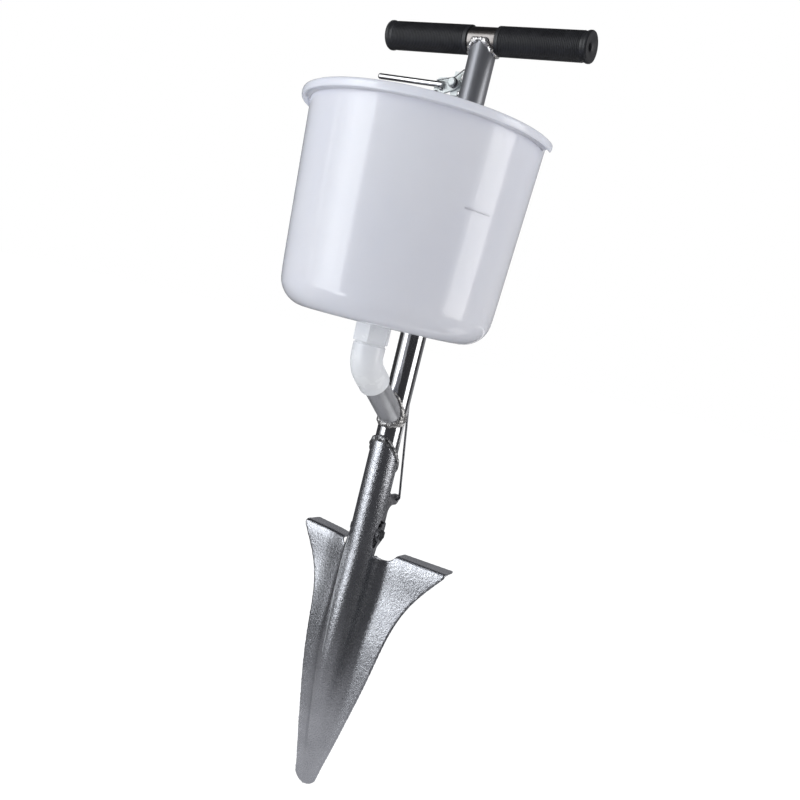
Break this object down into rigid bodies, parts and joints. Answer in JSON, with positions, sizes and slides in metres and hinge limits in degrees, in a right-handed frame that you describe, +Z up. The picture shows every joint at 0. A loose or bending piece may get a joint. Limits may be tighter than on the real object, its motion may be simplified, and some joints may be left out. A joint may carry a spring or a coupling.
{
  "type": "jab planter",
  "caption": "Hand jab planter with a T handle, a hopper that feeds a pointed foot-pushed blade, and a trigger-worked flap that opens behind the blade.",
  "frame": {"origin": "the blade's tip, on the shaft's axis", "axes": "+Z up along the shaft's axis, +X along the handle to the user's right, -Y to the front, where the hopper hangs"},
  "size_m": [0.2824, 0.2892, 0.9562],
  "materials": {
    "steel_tube": "satin ground steel tube",
    "bright_bar": "bright plated steel",
    "grip_rubber": "matte black, ribbed",
    "weld_metal": "rippled weld metal",
    "hopper_plastic": "milky translucent moulding",
    "white_plastic": "white gloss moulding",
    "blade_steel": "pressed sheet with a fine hammered grain",
    "flap_steel": "pressed sheet, dull",
    "dark_bolt": "blackened steel",
    "zinc": "pale zinc plate",
    "rod_chrome": "bright chrome",
    "spring_steel": "spring wire",
    "seal_rubber": "flat rubber ring"
  },
  "bodies": {
    "frame": {"shaft_tube": "steel_tube", "handle_bar": "bright_bar", "left_grip": "grip_rubber", "right_grip": "grip_rubber", "handle_weld": "weld_metal", "branch_tube": "steel_tube", "branch_weld": "weld_metal", "blade": "blade_steel", "socket_weld": "weld_metal", "hinge_bolt": "dark_bolt", "hinge_nut": "dark_bolt", "hinge_washers": "zinc", "trigger_bracket": "zinc", "bracket_welds": "weld_metal", "pivot_bolt": "dark_bolt", "pivot_nut": "zinc", "return_spring": "spring_steel", "hopper": "hopper_plastic", "outlet_fitting": "white_plastic", "outlet_seal": "seal_rubber", "outlet_nut": "white_plastic", "elbow": "white_plastic", "hopper_clip": "zinc", "clip_bolts": "zinc", "clip_nuts": "zinc", "clip_washers": "zinc"},
    "trigger": {"trigger_plate": "zinc", "trigger_rod": "rod_chrome", "rod_weld": "weld_metal"},
    "wire": {"pull_wire": "spring_steel"},
    "flap": {"rear_flap": "flap_steel", "flap_arm": "flap_steel", "arm_weld": "weld_metal"}
  },
  "joints": [
    {"name": "trigger_squeeze", "type": "hinge", "parent": "frame", "child": "trigger", "pos_m": [-0.0252, 0, 0.8855], "axis": [0, 1, 0], "range_deg": [0, 16], "stiffness_Nm_per_rad": 1, "springref_deg": -20.05, "deforming": ["return_spring"]},
    {"name": "flap_swing", "type": "hinge", "parent": "frame", "child": "flap", "pos_m": [0, 0.0045, 0.3385], "axis": [1, 0, 0], "range_deg": [0, 6.22]},
    {"name": "wire_swing", "type": "hinge", "parent": "trigger", "child": "wire", "pos_m": [-0.0465, -0.0038, 0.874], "axis": [0.0291, 0.9996, 0], "range_deg": [-16.3, 0]}
  ],
  "couplings": [
    {"joint": "flap_swing", "follows": "trigger_squeeze", "ratio": 0.38906},
    {"joint": "wire_swing", "follows": "trigger_squeeze", "ratio": -1.0189}
  ]
}
